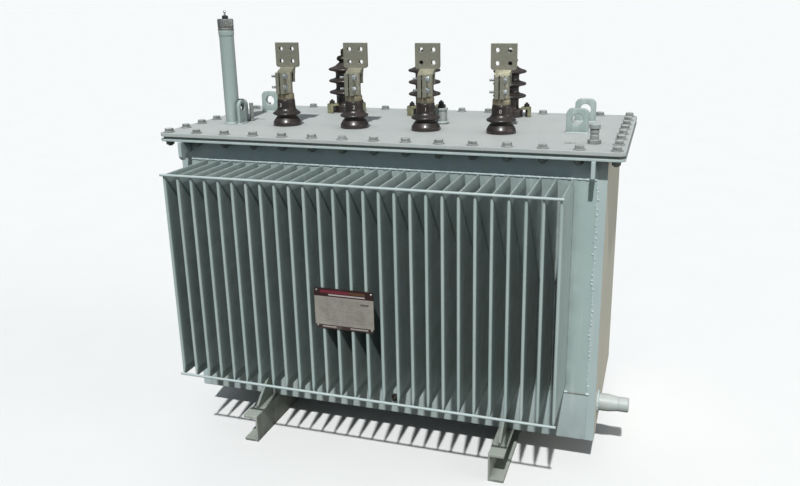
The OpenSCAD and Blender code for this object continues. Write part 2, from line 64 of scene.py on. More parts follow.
def setCamera():
    wide, high = view["image"]
    forward = Vector((-math.sin(view["yaw"]) * math.cos(view["pitch"]),
                      math.cos(view["yaw"]) * math.cos(view["pitch"]), -math.sin(view["pitch"])))
    level = Vector((math.cos(view["yaw"]), math.sin(view["yaw"]), 0))
    upright = level.cross(forward)
    right = level * math.cos(view["roll"]) + upright * math.sin(view["roll"])
    up = upright * math.cos(view["roll"]) - level * math.sin(view["roll"])
    data = bpy.data.cameras.new("camera")
    data.sensor_fit = "HORIZONTAL"
    data.sensor_width = 36
    data.lens = view["focalPixels"] / wide * data.sensor_width
    data.shift_x = (wide / 2 - view["centre"][0]) / wide
    data.shift_y = (view["centre"][1] - high / 2) / wide
    camera = bpy.data.objects.new("camera", data)
    bpy.context.scene.collection.objects.link(camera)
    turn = Matrix((right, up, -forward)).transposed().to_4x4()
    camera.matrix_world = Matrix.Translation(view["place"]) @ turn
    bpy.context.scene.camera = camera


setCamera()


# small tools for shader trees
def tint(red, green, blue):
    def straight(part):
        part = part / 255
        return part / 12.92 if part <= 0.04045 else ((part + 0.055) / 1.055) ** 2.4
    return (straight(red), straight(green), straight(blue), 1)


def addNode(tree, kind, inputs=None, **settings):
    made = tree.nodes.new(kind)
    for key, value in settings.items():
        setattr(made, key, value)
    for key, value in (inputs or {}).items():
        if isinstance(value, bpy.types.NodeSocket):
            tree.links.new(value, made.inputs[key])
        else:
            made.inputs[key].default_value = value
    return made


def noise(tree, place, scale, detail, rough=0.55, stretch=None):
    if stretch:
        place = addNode(tree, "ShaderNodeMapping", {"Vector": place, "Scale": stretch}).outputs[0]
    return addNode(tree, "ShaderNodeTexNoise",
                   {"Vector": place, "Scale": scale, "Detail": detail, "Roughness": rough}).outputs[0]


def spread(tree, value, low, high, toLow=0.0, toHigh=1.0):
    return addNode(tree, "ShaderNodeMapRange", {"Value": value, "From Min": low, "From Max": high,
                                                "To Min": toLow, "To Max": toHigh}).outputs[0]


def sums(tree, operation, first, second, clamp=False):
    made = addNode(tree, "ShaderNodeMath", {0: first, 1: second}, operation=operation, use_clamp=clamp)
    return made.outputs[0]


def times(tree, first, *others):
    for other in others:
        first = sums(tree, "MULTIPLY", first, other)
    return first


def blendColours(tree, share, first, second):
    return addNode(tree, "ShaderNodeMix", {0: share, 6: first, 7: second}, data_type="RGBA").outputs[2]


def newGroup(name, takes, gives):
    group = bpy.data.node_groups.new(name, "ShaderNodeTree")
    for label, kind, value in takes:
        group.interface.new_socket(name=label, in_out="INPUT", socket_type=kind).default_value = value
    for label, kind in gives:
        group.interface.new_socket(name=label, in_out="OUTPUT", socket_type=kind)
    return group, group.nodes.new("NodeGroupInput").outputs, group.nodes.new("NodeGroupOutput").inputs


colour, number, direction = "NodeSocketColor", "NodeSocketFloat", "NodeSocketVector"
shadeAndGrimeTint = (0.045, 0.042, 0.036, 1)  # painted shade and grime in the corners of painted parts
shadeAndGreaseTint = (0.03, 0.026, 0.022, 1)  # painted shade and grease in metal corners
paleEdgeAndHighlightTint = (0.72, 0.78, 0.77, 1)  # paint worn pale along edges, and a painted edge highlight


# where edges are rubbed and where corners lie in shade (ambient occlusion), shared by all finishes
def edgesAndCornersGroup():
    group, takes, gives = newGroup("edgesAndCorners",
        [("Edge size", number, 0.003), ("Corner size", number, 0.05)],
        [("Edge", number), ("Corner", number), ("Upward", number), ("Sideways", number),
         ("Normal", direction)])
    place = addNode(group, "ShaderNodeTexCoord").outputs["Object"]
    flat = addNode(group, "ShaderNodeNewGeometry").outputs["Normal"]
    soft = addNode(group, "ShaderNodeBevel", {"Radius": takes["Edge size"]}, samples=4).outputs[0]
    alike = addNode(group, "ShaderNodeVectorMath", {0: flat, 1: soft}, operation="DOT_PRODUCT")
    patchy = spread(group, noise(group, place, 34, 4), 0.36, 0.62)
    edge = times(group, spread(group, alike.outputs["Value"], 0.99, 0.8), patchy)
    # ambient occlusion gives the Corner mask, where shade falls in corners; it drives painted shade
    shut = addNode(group, "ShaderNodeAmbientOcclusion", {"Distance": takes["Corner size"]}, samples=4)
    facing = addNode(group, "ShaderNodeSeparateXYZ", {0: flat}).outputs
    sideways = sums(group, "ABSOLUTE", facing["X"], 0.0)
    group.links.new(edge, gives["Edge"])
    group.links.new(spread(group, shut.outputs["AO"], 0.85, 0.25), gives["Corner"])
    group.links.new(spread(group, facing["Z"], 0.45, 0.95), gives["Upward"])
    group.links.new(spread(group, sideways, 0.6, 0.95), gives["Sideways"])
    group.links.new(soft, gives["Normal"])
    return group


edgesAndCorners = edgesAndCornersGroup()


# sprayed paint that has stood outside: dull patches, runs, dust on top (on bolts and valves also painted top
# light), pale warm ends (sand and painted bounce light), darker towards the bottom, painted corner shade with
# grime, pale edges (wear and painted highlight), chips
def agedPaintGroup():
    group, takes, gives = newGroup("agedPaint",
        [("Base", colour, (0.4, 0.4, 0.4, 1)), ("Shade", colour, (0.3, 0.3, 0.3, 1)),
         ("DustAndTopLightTint", colour, (0.5, 0.5, 0.5, 1)), ("Bare", colour, (0.1, 0.1, 0.1, 1)),
         ("EndAndLowTint", colour, (0.3, 0.3, 0.25, 1)), ("DustAndTopLight", number, 0.4), ("ShadeAndGrime", number, 0.4),
         ("Chipped", number, 0.2), ("Runs", number, 0.3), ("Sandy bounce-lit ends", number, 0.0),
         ("DarkerLow", number, 0.0), ("Edge size", number, 0.003)],
        [("Color", colour), ("Roughness", number), ("Height", number), ("Normal", direction)])
    place = addNode(group, "ShaderNodeTexCoord").outputs["Object"]
    marks = addNode(group, "ShaderNodeGroup", {"Edge size": takes["Edge size"]},
                    node_tree=edgesAndCorners).outputs
    broad = noise(group, place, 2.6, 6)
    fine = noise(group, place, 22, 5)
    peel = noise(group, place, 380, 2)
    run = noise(group, place, 1.0, 4, 0.6, (46, 46, 2.2))
    steep = sums(group, "SUBTRACT", 1.0, marks["Upward"])
    body = blendColours(group, spread(group, broad, 0.36, 0.66), takes["Base"], takes["Shade"])
    body = blendColours(group, spread(group, fine, 0.3, 0.75, 0.0, 0.35), body, takes["Shade"])
    washed = times(group, spread(group, run, 0.5, 0.72), steep, takes["Runs"])
    body = blendColours(group, washed, body, takes["DustAndTopLightTint"])
    # ends: sideways faces are tinted pale and warm, sand together with painted warm bounce light
    endSandAndBounceLight = times(group, marks["Sideways"], takes["Sandy bounce-lit ends"], spread(group, broad, 0.3, 0.7, 0.7, 1.0))
    # darker towards the bottom
    low = spread(group, addNode(group, "ShaderNodeSeparateXYZ", {0: place}).outputs["Z"], 0.22, 0.06)
    darkerLow = times(group, low, takes["DarkerLow"],
                   spread(group, sums(group, "ADD", fine, run), 0.7, 1.2, 0.3, 1.0))
    body = blendColours(group, sums(group, "MAXIMUM", endSandAndBounceLight, darkerLow), body, takes["EndAndLowTint"])
    # dust on upward faces; on bolts and valves this pale top is also painted top light
    dustAndTopLight = times(group, marks["Upward"], takes["DustAndTopLight"],
                  spread(group, sums(group, "ADD", broad, fine), 0.7, 1.2, 0.45, 1.0))
    body = blendColours(group, dustAndTopLight, body, takes["DustAndTopLightTint"])
    # painted shade: corners found by ambient occlusion are darkened, standing also for grime
    cornerShadeAndGrime = times(group, marks["Corner"], takes["ShadeAndGrime"], spread(group, fine, 0.3, 0.6, 0.4, 1.0))
    body = blendColours(group, cornerShadeAndGrime, body, shadeAndGrimeTint)
    # edges lightened: worn pale paint together with a painted edge highlight
    edgeWearAndHighlight = times(group, marks["Edge"], 0.35)
    body = blendColours(group, edgeWearAndHighlight, body, paleEdgeAndHighlightTint)
    speck = noise(group, place, 120, 4, 0.6)
    chip = sums(group, "ADD", times(group, marks["Edge"], 0.16), speck)
    chip = sums(group, "ADD", chip, times(group, takes["Chipped"], 0.12))
    chip = spread(group, chip, 0.78, 0.81)
    body = blendColours(group, chip, body, takes["Bare"])
    gloss = spread(group, fine, 0.3, 0.7, 0.34, 0.48)
    gloss = sums(group, "ADD", gloss, times(group, dustAndTopLight, 0.35))
    gloss = sums(group, "ADD", gloss, times(group, chip, 0.3), True)
    height = sums(group, "ADD", times(group, peel, 0.35), times(group, fine, 0.5))
    height = sums(group, "SUBTRACT", height, times(group, chip, 0.4))
    for label, value in (("Color", body), ("Roughness", gloss), ("Height", height),
                         ("Normal", marks["Normal"])):
        group.links.new(value, gives[label])
    return group


agedPaint = agedPaintGroup()


# cast or turned metal: tarnish in patches, scratches, painted shade with grease in corners, bright edges
def wornMetalGroup():
    group, takes, gives = newGroup("wornMetal",
        [("Bright", colour, (0.6, 0.6, 0.6, 1)), ("Tarnish", colour, (0.3, 0.3, 0.3, 1)),
         ("Tarnished", number, 0.5), ("ShadeAndGrime", number, 0.5), ("Rough", number, 0.4), ("Grain", number, 90.0)],
        [("Color", colour), ("Roughness", number), ("Metallic", number), ("Height", number),
         ("Normal", direction)])
    place = addNode(group, "ShaderNodeTexCoord").outputs["Object"]
    marks = addNode(group, "ShaderNodeGroup", {"Edge size": 0.0015, "Corner size": 0.015},
                    node_tree=edgesAndCorners).outputs
    patch = noise(group, place, 30, 6, 0.6)
    grit = noise(group, place, takes["Grain"], 4, 0.65)
    scratch = noise(group, place, 1.0, 2, 0.5, (900, 260, 60))
    dull = times(group, spread(group, patch, 0.35, 0.68), takes["Tarnished"])
    body = blendColours(group, dull, takes["Bright"], takes["Tarnish"])
    body = blendColours(group, spread(group, grit, 0.35, 0.75, 0.0, 0.45), body, takes["Tarnish"])
    body = blendColours(group, times(group, marks["Edge"], 0.5), body, takes["Bright"])
    # painted shade: corners found by ambient occlusion are darkened, standing also for grease
    cornerShadeAndGrime = times(group, marks["Corner"], takes["ShadeAndGrime"])
    body = blendColours(group, cornerShadeAndGrime, body, shadeAndGreaseTint)
    rough = sums(group, "ADD", takes["Rough"], spread(group, patch, 0.3, 0.7, -0.06, 0.14))
    rough = sums(group, "ADD", rough, times(group, cornerShadeAndGrime, 0.3), True)
    metal = spread(group, sums(group, "ADD", cornerShadeAndGrime, times(group, dull, 0.3)), 0.1, 0.9, 0.95, 0.35)
    height = sums(group, "ADD", times(group, grit, 0.7), times(group, scratch, 0.3))
    for label, value in (("Color", body), ("Roughness", rough), ("Metallic", metal), ("Height", height),
                         ("Normal", marks["Normal"])):
        group.links.new(value, gives[label])
    return group


wornMetal = wornMetalGroup()


def newMaterial(name):
    made = bpy.data.materials.new(name)
    made.use_nodes = True
    tree = made.node_tree
    return made, tree, tree.nodes["Principled BSDF"]


def finish(name, group, look, relief, depth):
    made, tree, shader = newMaterial(name)
    gives = addNode(tree, "ShaderNodeGroup", look, node_tree=group).outputs
    bump = addNode(tree, "ShaderNodeBump", {"Strength": relief, "Distance": depth, "Height": gives["Height"],
                                            "Normal": gives["Normal"]})
    for label in ("Color", "Roughness", "Metallic"):
        if label in gives:
            tree.links.new(gives[label], shader.inputs["Base Color" if label == "Color" else label])
    tree.links.new(bump.outputs[0], shader.inputs["Normal"])
    return made


# paints
tankLook = {"Base": tint(173, 188, 187), "Shade": tint(161, 177, 177), "DustAndTopLightTint": tint(186, 195, 190),
            "Bare": tint(92, 78, 66), "EndAndLowTint": tint(116, 120, 114), "DustAndTopLight": 0.45, "ShadeAndGrime": 0.5,
            "Chipped": 0.1, "Runs": 0.55, "Sandy bounce-lit ends": 0.0, "DarkerLow": 0.6}
finLook = {**tankLook, "Base": tint(163, 180, 177), "Shade": tint(151, 169, 166), "ShadeAndGrime": 0.54,
           "DarkerLow": 0.2, "Edge size": 0.006}
lugLook = dict(finLook, Base=tint(154, 170, 166), Shade=tint(143, 159, 156))
# a lighter copy of the tank paint: painted light on the rails, which lie in the cover's shade
railLitLook = dict(tankLook, Base=tint(186, 204, 209), Shade=tint(174, 192, 197), DarkerLow=0.0)
coverLook = dict(tankLook, Base=tint(171, 178, 176), Shade=tint(163, 172, 170), DustAndTopLightTint=tint(178, 180, 177),
                 DustAndTopLight=0.75, ShadeAndGrime=0.6, Chipped=0.15, DarkerLow=0.0)
# end walls tinted pale and warm: sand together with painted warm bounce light
endLook = {**tankLook, "EndAndLowTint": tint(225, 221, 203), "Sandy bounce-lit ends": 0.92, "DarkerLow": 0.0}
skidLook = dict(tankLook, Base=tint(178, 187, 180), Shade=tint(154, 162, 155), DustAndTopLightTint=tint(154, 162, 153),
                Bare=tint(100, 70, 50), EndAndLowTint=tint(118, 121, 111), DustAndTopLight=0.6, ShadeAndGrime=0.9, Chipped=0.75,
                Runs=0.6)
# a darker copy of the skid paint: painted shade on the gussets
gussetShadedLook = dict(skidLook, Base=tint(122, 134, 128), Shade=tint(100, 112, 106), DustAndTopLightTint=tint(124, 134, 127),
                  Chipped=0.3)
# darker base with pale dusty tops: painted top light and side shade, with dust
boltLook = dict(coverLook, Base=tint(134, 142, 140), Shade=tint(104, 112, 110), DustAndTopLight=0.95, ShadeAndGrime=0.9,
                Chipped=0.5)
nutLook = dict(tankLook, Base=tint(124, 136, 134), Shade=tint(102, 108, 103), ShadeAndGrime=0.8, Chipped=0.5)
# pale dusty tops and fully darkened grooves: painted top light and groove shade, with dust
valveLook = dict(tankLook, Base=tint(146, 154, 151), Shade=tint(114, 122, 120), DustAndTopLightTint=tint(192, 200, 195),
                 DustAndTopLight=0.8, ShadeAndGrime=1.0, Chipped=0.3)
# a lighter copy of the tank paint: painted highlight on the beads
weldHighlightLook = dict(tankLook, Base=tint(180, 195, 196), Shade=tint(167, 183, 184), ShadeAndGrime=0.05, Chipped=0.0,
                Runs=0.0, DarkerLow=0.2)
seamLook = dict(tankLook, Base=tint(104, 110, 104), Shade=tint(86, 82, 72), ShadeAndGrime=0.9, Chipped=0.8)

tankPaint = finish("tankPaint", agedPaint, tankLook, 0.22, 0.002)
finPaint = finish("finPaint", agedPaint, finLook, 0.18, 0.002)
lugPaint = finish("lugPaint", agedPaint, lugLook, 0.18, 0.002)
railLitPaint = finish("railLitPaint", agedPaint, railLitLook, 0.22, 0.002)
coverPaint = finish("coverPaint", agedPaint, coverLook, 0.25, 0.002)
endPaint = finish("endPaint", agedPaint, endLook, 0.25, 0.002)
skidPaint = finish("skidPaint", agedPaint, skidLook, 0.45, 0.003)
gussetShadedPaint = finish("gussetShadedPaint", agedPaint, gussetShadedLook, 0.4, 0.003)
boltPaint = finish("boltPaint", agedPaint, boltLook, 0.3, 0.002)
nutPaint = finish("nutPaint", agedPaint, nutLook, 0.3, 0.002)
valvePaint = finish("valvePaint", agedPaint, valveLook, 0.3, 0.002)
weldHighlightPaint = finish("weldHighlightPaint", agedPaint, weldHighlightLook, 0.3, 0.002)
seamPaint = finish("seamPaint", agedPaint, seamLook, 0.4, 0.002)

# metals
tinnedLook = {"Bright": tint(206, 205, 188), "Tarnish": tint(146, 144, 129), "Tarnished": 0.65, "ShadeAndGrime": 0.95,
              "Rough": 0.4, "Grain": 110.0}
brassLook = dict(tinnedLook, Bright=tint(186, 178, 154), Tarnish=tint(136, 126, 106), Tarnished=0.8,
                 Rough=0.45)
darkBrassLook = dict(brassLook, Bright=tint(80, 78, 70), Tarnish=tint(40, 38, 34), Tarnished=0.9)
zincLook = dict(tinnedLook, Bright=tint(204, 202, 168), Tarnish=tint(140, 138, 104), Rough=0.35, Grain=60.0)
boltSteelLook = dict(tinnedLook, Bright=tint(214, 220, 220), Tarnish=tint(150, 158, 160), Tarnished=0.5,
                     Rough=0.3)
capLook = dict(tinnedLook, Bright=tint(186, 190, 187), Tarnish=tint(84, 87, 85), Tarnished=0.85, Rough=0.5,
               Grain=160.0)

tinnedMetal = finish("tinnedMetal", wornMetal, tinnedLook, 0.3, 0.001)
brassMetal = finish("brassMetal", wornMetal, brassLook, 0.35, 0.001)
darkBrass = finish("darkBrass", wornMetal, darkBrassLook, 0.35, 0.001)
zincSteel = finish("zincSteel", wornMetal, zincLook, 0.25, 0.001)
boltSteel = finish("boltSteel", wornMetal, boltSteelLook, 0.2, 0.001)
capMetal = finish("capMetal", wornMetal, capLook, 0.6, 0.0015)


# brown glaze with fired mottling, and settled dust on the tops of the sheds
def glazeMaterial(name, deep, warm, dusty):
    made, tree, shader = newMaterial(name)
    place = addNode(tree, "ShaderNodeTexCoord").outputs["Object"]
    marks = addNode(tree, "ShaderNodeGroup", {"Edge size": 0.002, "Corner size": 0.02},
                    node_tree=edgesAndCorners).outputs
    cloud = noise(tree, place, 18, 5)
    speck = noise(tree, place, 240, 3, 0.6)
    body = blendColours(tree, spread(tree, cloud, 0.35, 0.65), deep, warm)
    body = blendColours(tree, spread(tree, speck, 0.62, 0.72, 0.0, 0.2), body, tint(78, 54, 44))
    film = times(tree, marks["Upward"], dusty, spread(tree, cloud, 0.3, 0.7, 0.4, 1.0))
    body = blendColours(tree, film, body, tint(150, 144, 132))
    tree.links.new(body, shader.inputs["Base Color"])
    rough = sums(tree, "ADD", spread(tree, cloud, 0.3, 0.7, 0.4, 0.5), times(tree, film, 0.6))
    tree.links.new(rough, shader.inputs["Roughness"])
    bump = addNode(tree, "ShaderNodeBump", {"Strength": 0.08, "Distance": 0.002, "Height": cloud})
    tree.links.new(bump.outputs[0], shader.inputs["Normal"])
    shader.inputs["Specular IOR Level"].default_value = 0.5
    shader.inputs["Coat Weight"].default_value = 0.35
    shader.inputs["Coat Roughness"].default_value = 0.2
    return made


lvGlaze = glazeMaterial("lvGlaze", tint(28, 23, 21), tint(43, 33, 30), 0.08)
hvGlaze = glazeMaterial("hvGlaze", tint(28, 23, 22), tint(42, 31, 29), 0.1)


# rubber and moulded black plastic
def rubberMaterial(name, base, dull, rough):
    made, tree, shader = newMaterial(name)
    place = addNode(tree, "ShaderNodeTexCoord").outputs["Object"]
    marks = addNode(tree, "ShaderNodeGroup", {"Edge size": 0.001, "Corner size": 0.01},
                    node_tree=edgesAndCorners).outputs
    cloud = noise(tree, place, 40, 5)
    grain = noise(tree, place, 500, 2)
    body = blendColours(tree, spread(tree, cloud, 0.4, 0.7), base, dull)
    body = blendColours(tree, times(tree, marks["Edge"], 0.4), body, tint(120, 120, 116))
    tree.links.new(body, shader.inputs["Base Color"])
    tree.links.new(spread(tree, cloud, 0.3, 0.7, rough, rough + 0.2), shader.inputs["Roughness"])
    bump = addNode(tree, "ShaderNodeBump", {"Strength": 0.15, "Distance": 0.001, "Height": grain,
                                            "Normal": marks["Normal"]})
    tree.links.new(bump.outputs[0], shader.inputs["Normal"])
    return made


gasketRubber = rubberMaterial("gasketRubber", tint(108, 119, 115), tint(128, 138, 134), 0.65)
sealRubber = rubberMaterial("sealRubber", tint(30, 32, 32), tint(54, 58, 56), 0.6)
knobPlastic = rubberMaterial("knobPlastic", tint(22, 22, 23), tint(36, 36, 37), 0.32)
markPaint = rubberMaterial("markPaint", tint(190, 190, 182), tint(140, 140, 132), 0.5)
print("finishes ready")


def dress(material, *names):
    for name in names:
        for place in nodes[name].material_slots:
            place.material = material


dress(tankPaint, "tank_floor", "front_skirt", "back_skirt", "front_rods", "back_rods", "tank_flange",
      "tank_hooks")
dress(railLitPaint, "front_rail", "back_rail")
dress(finPaint, "front_panel", "back_panel")
dress(lugPaint, "pipe_bracket", "lifting_lugs", "filler_pipe")
dress(endPaint, "left_end_wall", "right_end_wall")
dress(coverPaint, "cover", "drain_spigot", "drain_cap")
dress(valvePaint, "tap_changer", "relief_valve", "vent_cock")
dress(skidPaint, "left_skid", "right_skid")
dress(gussetShadedPaint, "skid_gussets")
dress(gasketRubber, "cover_gasket")
dress(brassMetal, "lv_collars")
dress(tinnedMetal, "lv_terminal_1", "lv_terminal_2", "lv_terminal_3", "lv_terminal_4")
dress(darkBrass, "hv_terminal_1", "hv_terminal_2", "hv_terminal_3")
dress(zincSteel, "hv_claws")
dress(knobPlastic, "tap_knob")


# small tools for meshes
def asShape(bm):
    shape = bpy.data.meshes.new("shape")
    bm.to_mesh(shape)
    bm.free()
    return shape


def stamp(bm, shape, place):
    count = len(bm.verts)
    bm.from_mesh(shape)
    bm.verts.ensure_lookup_table()
    bmesh.ops.transform(bm, matrix=place, verts=bm.verts[count:])


def newPiece(name, bm, material, sharp=35):
    bmesh.ops.recalc_face_normals(bm, faces=bm.faces[:])
    mesh = bpy.data.meshes.new(name)
    bm.to_mesh(mesh)
    bm.free()
    mesh.materials.append(material)
    mesh.polygons.foreach_set("use_smooth", [True] * len(mesh.polygons))
    mesh.set_sharp_from_angle(angle=math.radians(sharp))
    piece = bpy.data.objects.new(name, mesh)
    bpy.context.scene.collection.objects.link(piece)
    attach(piece, "root")
    return piece


def turned(profile, steps, closed=False):
    bm = bmesh.new()
    rim = [bm.verts.new((r * mm, 0, z * mm)) for r, z in profile]
    line = [bm.edges.new(pair) for pair in zip(rim, rim[1:])]
    if closed:
        line.append(bm.edges.new((rim[-1], rim[0])))
    bmesh.ops.spin(bm, geom=rim + line, cent=(0, 0, 0), axis=(0, 0, 1), angle=math.tau, steps=steps,
                   use_merge=True, use_duplicate=False)
    bmesh.ops.remove_doubles(bm, verts=bm.verts[:], dist=1e-6)
    bmesh.ops.recalc_face_normals(bm, faces=bm.faces[:])
    return bm


def curved(points, parts):  # a smooth line through the profile's points
    ends = [points[0]] + list(points) + [points[-1]]
    line = [points[0]]
    for a, b, c, d in zip(ends, ends[1:], ends[2:], ends[3:]):
        for k in range(1, parts + 1):
            t = k / parts
            line.append(tuple(0.5 * (2 * b[i] + (c[i] - a[i]) * t
                                     + (2 * a[i] - 5 * b[i] + 4 * c[i] - d[i]) * t * t
                                     + (3 * b[i] - a[i] - 3 * c[i] + d[i]) * t ** 3) for i in (0, 1)))
    return line


def hexShape(flats, height, chamfer):
    bm = bmesh.new()
    reach = flats / math.sqrt(3) * mm
    bmesh.ops.create_cone(bm, cap_ends=True, segments=6, radius1=reach, radius2=reach, depth=height * mm,
                          matrix=Matrix.Translation((0, 0, height / 2 * mm)))
    rim = [e for e in bm.edges if all(v.co.z > height * 0.9 * mm for v in e.verts)]
    bmesh.ops.bevel(bm, geom=rim, offset=chamfer * mm, affect="EDGES", segments=2, profile=0.5, material=-1)
    return asShape(bm)


def washerShape(inner, outer, thick, steps=28):
    profile = [(inner, 0), (outer, 0), (outer, thick * 0.7), (outer - thick * 0.3, thick), (inner, thick)]
    return asShape(turned(profile, steps, True))


def threadShape(radius, low, high, pitch, steps):
    core = radius - pitch * 0.5
    profile = [(0, low), (core, low)]
    for k in range(int((high - low) / pitch)):
        profile += [(radius, low + (k + 0.5) * pitch), (core, low + (k + 1) * pitch)]
    return asShape(turned(profile + [(core - 0.8, high), (0, high)], steps))


def at(x, y, z, turn=0.0):
    return Matrix.Translation((x, y, z)) @ Matrix.Rotation(turn, 4, "Z")


# cover bolts, with their nuts under the flange
bolts = {"inset": 25, "alongFront": 15, "alongEnd": 8, "flats": 24, "chamfer": 1.6, "headHeight": 10,
         "nutHeight": 10, "washerHole": 6, "washer": 17, "washerThick": 3, "thread": 8, "threadPitch": 2.4,
         "threadBelow": 17}


def boltPlaces():
    low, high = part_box("cover")
    x0, x1 = low.x + bolts["inset"] * mm, high.x - bolts["inset"] * mm
    y0, y1 = low.y + bolts["inset"] * mm, high.y - bolts["inset"] * mm
    for k in range(bolts["alongFront"]):
        x = x0 + (x1 - x0) * k / (bolts["alongFront"] - 1)
        yield from ((x, y0), (x, y1))
    for k in range(1, bolts["alongEnd"] - 1):
        y = y0 + (y1 - y0) * k / (bolts["alongEnd"] - 1)
        yield from ((x0, y), (x1, y))


def makeCoverBolts():
    head = hexShape(bolts["flats"], bolts["headHeight"], bolts["chamfer"])
    nut = hexShape(bolts["flats"], bolts["nutHeight"], bolts["chamfer"])
    washer = washerShape(bolts["washerHole"], bolts["washer"], bolts["washerThick"])
    thread = threadShape(bolts["thread"], 0, bolts["threadBelow"], bolts["threadPitch"], 14)
    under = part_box("tank_flange")[0].z
    down = Matrix.Rotation(math.pi, 4, "X")
    heads, nuts = bmesh.new(), bmesh.new()
    for x, y in boltPlaces():
        turn = chance.uniform(0, math.pi)
        stamp(heads, washer, at(x, y, coverTop, turn))
        stamp(heads, head, at(x, y, coverTop + bolts["washerThick"] * mm, turn))
        turn = chance.uniform(0, math.pi)
        stamp(nuts, washer, at(x, y, under, turn) @ down)
        stamp(nuts, nut, at(x, y, under - bolts["washerThick"] * mm, turn) @ down)
        stamp(nuts, thread, at(x, y, under, turn) @ down)
    newPiece("coverBolts", heads, boltPaint)
    newPiece("flangeNuts", nuts, nutPaint)


makeCoverBolts()
print("cover bolts done")


# weld beads
beads = {"panelTop": 4.2, "seam": 2.6, "dot": 3.0, "dotHalf": 4, "dotGap": 16, "dotStray": 4, "sunk": 1.6,
         "groove": 2.0, "tackRise": 2, "foot": 4.0, "rod": 4.2, "rodHalf": 6, "ripple": 0.22, "lumpy": 0.4,
         "runOut": 0.6}
fins = {"count": 27, "pitch": 45, "thick": 9}


def addBead(bm, start, end, radius, ripple):
    start, end = Vector(start), Vector(end)
    span = end - start
    rings = max(4, int(span.length / (radius * mm * 1.2)))
    bead = bmesh.new()
    bmesh.ops.create_cone(bead, cap_ends=True, segments=8, radius1=radius * mm, radius2=radius * mm,
                          depth=span.length)
    sides = [e for e in bead.edges if abs(e.verts[0].co.z - e.verts[1].co.z) > span.length * 0.9]
    bmesh.ops.subdivide_edges(bead, edges=sides, cuts=rings - 1, use_grid_fill=True)
    swell = [1 + chance.uniform(-1, 1) * ripple for k in range(rings + 1)]
    swell[0] = swell[-1] = beads["runOut"]
    for v in bead.verts:
        size = swell[round((v.co.z / span.length + 0.5) * rings)]
        v.co.x *= size
        v.co.y *= size
    turn = span.to_track_quat("Z", "Y").to_matrix().to_4x4()
    shape = asShape(bead)
    stamp(bm, shape, Matrix.Translation((start + end) / 2) @ turn)
    bpy.data.meshes.remove(shape)


def addFrame(bm, x0, x1, y0, y1, z, radius):
    corners = [(x0, y0, z), (x1, y0, z), (x1, y1, z), (x0, y1, z)]
    for a, b in zip(corners, corners[1:] + corners[:1]):
        addBead(bm, a, b, radius, beads["ripple"])


def finPlaces():
    low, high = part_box("front_panel")
    middle = (low.x + high.x) / 2
    return [middle + (k - (fins["count"] - 1) / 2) * fins["pitch"] * mm for k in range(fins["count"])]


def makePanelWelds():
    low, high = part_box("front_panel")
    wall = abs(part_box("front_skirt")[0].y)
    first, last, half = finPlaces()[0], finPlaces()[-1], fins["thick"] / 2 * mm
    ends = [(low.x, first - half), (last + half, high.x)]
    dotReach = Vector((0, 0, beads["dotHalf"] * mm))
    tackReach = Vector((beads["rodHalf"] * mm, 0, 0))
    bm, dark = bmesh.new(), bmesh.new()
    for face in (-1, 1):
        y = face * (wall - beads["sunk"] * mm)
        addBead(bm, (low.x, y, high.z), (high.x, y, high.z), beads["panelTop"], beads["ripple"])
        for x in (low.x, high.x):
            addBead(bm, (x, y, low.z), (x, y, high.z), beads["seam"], beads["ripple"])
            for k in range(1, int((high.z - low.z) / (beads["dotGap"] * mm))):  # the welder's short runs
                z = low.z + (k + chance.uniform(-0.25, 0.25)) * beads["dotGap"] * mm
                side = x + chance.uniform(-1, 1) * beads["dotStray"] * mm
                spot = Vector((side, y, z))
                addBead(bm, spot - dotReach, spot + dotReach, beads["dot"], beads["lumpy"])
        y = face * wall
        for start, end in ends:  # the open seam beside the outer fins, tacked at both ends
            addBead(dark, (start, y, low.z), (end, y, low.z), beads["groove"], beads["ripple"])
            for x in (start, end):
                spot = Vector((x, y, low.z + beads["tackRise"] * mm))
                addBead(bm, spot - tackReach, spot + tackReach, beads["rod"], beads["ripple"])
    newPiece("panelWelds", bm, weldHighlightPaint, 60)
    newPiece("panelSeams", dark, seamPaint, 60)


def makeRodWelds():
    bm = bmesh.new()
    reach = Vector((beads["rodHalf"] * mm, 0, 0))
    for rods in ("front_rods", "back_rods"):
        low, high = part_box(rods)
        half = (high.y - low.y) / 2
        tips = high.y if rods == "front_rods" else low.y
        for z in (low.z + half, high.z - half):
            for x in finPlaces():
                spot = Vector((x, tips, z - half * 0.5))
                addBead(bm, spot - reach, spot + reach, beads["rod"], beads["lumpy"])
    newPiece("rodWelds", bm, weldHighlightPaint, 60)


# weld beads at the feet of lugs, bracket and drain, and an old scar on the cover
feet = {"lugWide": 68, "lugThick": 14, "drainOut": 5, "drainAlong": 5.5, "drainPushes": 15,
        "scarFrom": (526, -245), "scarTo": (560, -236), "scar": 2.8, "scarSunk": 0.5}


def makeFootWelds():
    bm = bmesh.new()
    low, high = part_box("lifting_lugs")
    wide, thick = feet["lugWide"] * mm, feet["lugThick"] * mm
    for x in (low.x, high.x - wide):
        for y in (low.y, high.y - thick):
            addFrame(bm, x, x + wide, y, y + thick, coverTop, beads["foot"])
    low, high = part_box("pipe_bracket")
    addFrame(bm, low.x, high.x, low.y, high.y, coverTop, beads["foot"])
    newPiece("footWelds", bm, tankPaint, 60)


